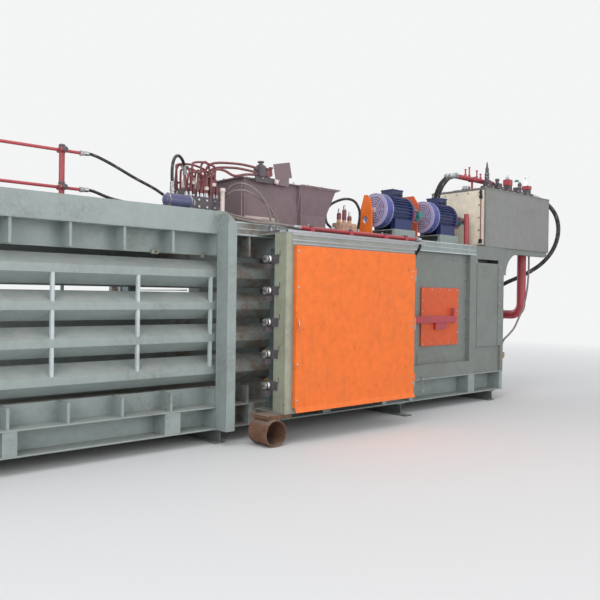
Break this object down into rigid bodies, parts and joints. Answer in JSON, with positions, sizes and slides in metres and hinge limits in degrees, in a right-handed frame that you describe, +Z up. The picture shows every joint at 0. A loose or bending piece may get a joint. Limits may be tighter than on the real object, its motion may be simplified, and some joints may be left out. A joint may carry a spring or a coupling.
{
  "type": "horizontal recycling baler",
  "caption": "Horizontal channel baler with slotted bale chamber, feed hopper, hydraulic ram, wire tying cabinet with hinged door and roof-mounted power pack.",
  "frame": {"origin": "on the floor, under the middle of the chamber's width, at the middle of the column post", "axes": "+X from the outlet end towards the oil tank, +Z up, -Y towards the tying cabinet and its door"},
  "size_m": [8.2554, 3.404, 2.928],
  "materials": {
    "frame_paint": "worn semi-gloss paint",
    "press_paint": "worn semi-gloss paint",
    "bright_bars": "worn semi-gloss paint",
    "skid_paint": "worn semi-gloss paint",
    "worn_steel": "worn bare steel",
    "hopper_paint": "worn semi-gloss paint",
    "cabinet_paint": "worn semi-gloss paint",
    "cream_paint": "worn semi-gloss paint",
    "plain_steel": "worn bare steel",
    "red_paint": "worn semi-gloss paint",
    "valve_metal": "rough",
    "motor_blue": "worn semi-gloss paint",
    "cover_lilac": "worn semi-gloss paint",
    "pump_teal": "rough",
    "orange_paint": "worn semi-gloss paint",
    "black_rubber": "matt",
    "pale_rubber": "matt",
    "rusty_steel": "rough",
    "case_paint": "worn semi-gloss paint",
    "yellow_paint": "worn semi-gloss paint",
    "ram_steel": "worn bare steel",
    "chrome_rod": "polished",
    "roller_steel": "worn bare steel"
  },
  "bodies": {
    "frame": {"skid_beams": "skid_paint", "base_beams": "frame_paint", "floor_plate": "worn_steel", "chamber_roof": "press_paint", "top_beams": "frame_paint", "rails_near": "frame_paint", "rails_far": "frame_paint", "wall_panels": "frame_paint", "slot_tie_bars": "bright_bars", "columns": "frame_paint", "outlet_frame": "frame_paint", "feed_walls": "frame_paint", "press_wall_near": "press_paint", "press_wall_far": "press_paint", "press_roof": "press_paint", "rear_plate": "press_paint", "hopper": "hopper_paint", "tie_cabinet": "cabinet_paint", "cabinet_post": "cream_paint", "cabinet_rail": "plain_steel", "main_barrel": "red_paint", "oil_tank": "press_paint", "tank_lid": "press_paint", "tank_valves": "valve_metal", "motors": "motor_blue", "fan_covers": "cover_lilac", "bell_housings": "red_paint", "pumps": "pump_teal", "motor_plinths": "frame_paint", "roof_brackets": "orange_paint", "red_pipes": "red_paint", "black_hoses": "black_rubber", "thin_hoses": "pale_rubber", "valve_block": "valve_metal", "pipe_support": "rusty_steel", "twister_case": "case_paint", "twister_motor": "yellow_paint", "roller_brackets": "valve_metal", "needle_frame": "frame_paint", "needle_drive": "case_paint", "choke_bridge": "frame_paint", "choke_barrel": "red_paint"},
    "ram": {"ram_body": "ram_steel", "piston_rod": "chrome_rod", "rod_pin": "plain_steel"},
    "needles": {"needle_carriage": "plain_steel"},
    "choke": {"choke_platen": "worn_steel"},
    "door": {"big_door": "orange_paint"},
    "hatch": {"hatch_door": "orange_paint", "hatch_arm": "red_paint"},
    "hook_1": {"twister_hook_1": "yellow_paint"},
    "hook_2": {"twister_hook_2": "yellow_paint"},
    "hook_3": {"twister_hook_3": "yellow_paint"},
    "hook_4": {"twister_hook_4": "yellow_paint"},
    "hook_5": {"twister_hook_5": "yellow_paint"},
    "roller_1": {"guide_roller_1": "roller_steel"},
    "roller_2": {"guide_roller_2": "roller_steel"},
    "roller_3": {"guide_roller_3": "roller_steel"},
    "roller_4": {"guide_roller_4": "roller_steel"},
    "roller_5": {"guide_roller_5": "roller_steel"}
  },
  "joints": [
    {"name": "ram_slide", "type": "slide", "parent": "frame", "child": "ram", "axis": [-1, 0, 0], "range_m": [0, 0.98]},
    {"name": "needle_slide", "type": "slide", "parent": "frame", "child": "needles", "axis": [0, -1, 0], "range_m": [0, 1.19]},
    {"name": "choke_slide", "type": "slide", "parent": "frame", "child": "choke", "axis": [0, 0, -1], "range_m": [0, 0.12]},
    {"name": "door_hinge", "type": "hinge", "parent": "frame", "child": "door", "pos_m": [2.014, -1.148, 0.975], "axis": [0, 0, 1], "range_deg": [0, 95]},
    {"name": "hatch_swing", "type": "hinge", "parent": "frame", "child": "hatch", "pos_m": [2.13, -0.775, 0.991], "axis": [0, 0, -1], "range_deg": [0, 80]},
    {"name": "twister_spin_1", "type": "hinge", "parent": "frame", "child": "hook_1", "pos_m": [0.565, -0.7, 0.477], "axis": [0, 1, 0], "continuous": true},
    {"name": "twister_spin_2", "type": "hinge", "parent": "frame", "child": "hook_2", "pos_m": [0.565, -0.7, 0.742], "axis": [0, 1, 0], "continuous": true},
    {"name": "twister_spin_3", "type": "hinge", "parent": "frame", "child": "hook_3", "pos_m": [0.565, -0.7, 1.007], "axis": [0, 1, 0], "continuous": true},
    {"name": "twister_spin_4", "type": "hinge", "parent": "frame", "child": "hook_4", "pos_m": [0.565, -0.7, 1.272], "axis": [0, 1, 0], "continuous": true},
    {"name": "twister_spin_5", "type": "hinge", "parent": "frame", "child": "hook_5", "pos_m": [0.565, -0.7, 1.537], "axis": [0, 1, 0], "continuous": true},
    {"name": "guide_roller_spin_1", "type": "hinge", "parent": "frame", "child": "roller_1", "pos_m": [0.325, -0.94, 0.477], "axis": [1, 0, 0], "continuous": true},
    {"name": "guide_roller_spin_2", "type": "hinge", "parent": "frame", "child": "roller_2", "pos_m": [0.325, -0.94, 0.742], "axis": [1, 0, 0], "continuous": true},
    {"name": "guide_roller_spin_3", "type": "hinge", "parent": "frame", "child": "roller_3", "pos_m": [0.325, -0.94, 1.007], "axis": [1, 0, 0], "continuous": true},
    {"name": "guide_roller_spin_4", "type": "hinge", "parent": "frame", "child": "roller_4", "pos_m": [0.325, -0.94, 1.272], "axis": [1, 0, 0], "continuous": true},
    {"name": "guide_roller_spin_5", "type": "hinge", "parent": "frame", "child": "roller_5", "pos_m": [0.325, -0.94, 1.537], "axis": [1, 0, 0], "continuous": true}
  ],
  "couplings": [
    {"joint": "twister_spin_2", "follows": "twister_spin_1", "ratio": 1},
    {"joint": "twister_spin_3", "follows": "twister_spin_1", "ratio": 1},
    {"joint": "twister_spin_4", "follows": "twister_spin_1", "ratio": 1},
    {"joint": "twister_spin_5", "follows": "twister_spin_1", "ratio": 1}
  ]
}
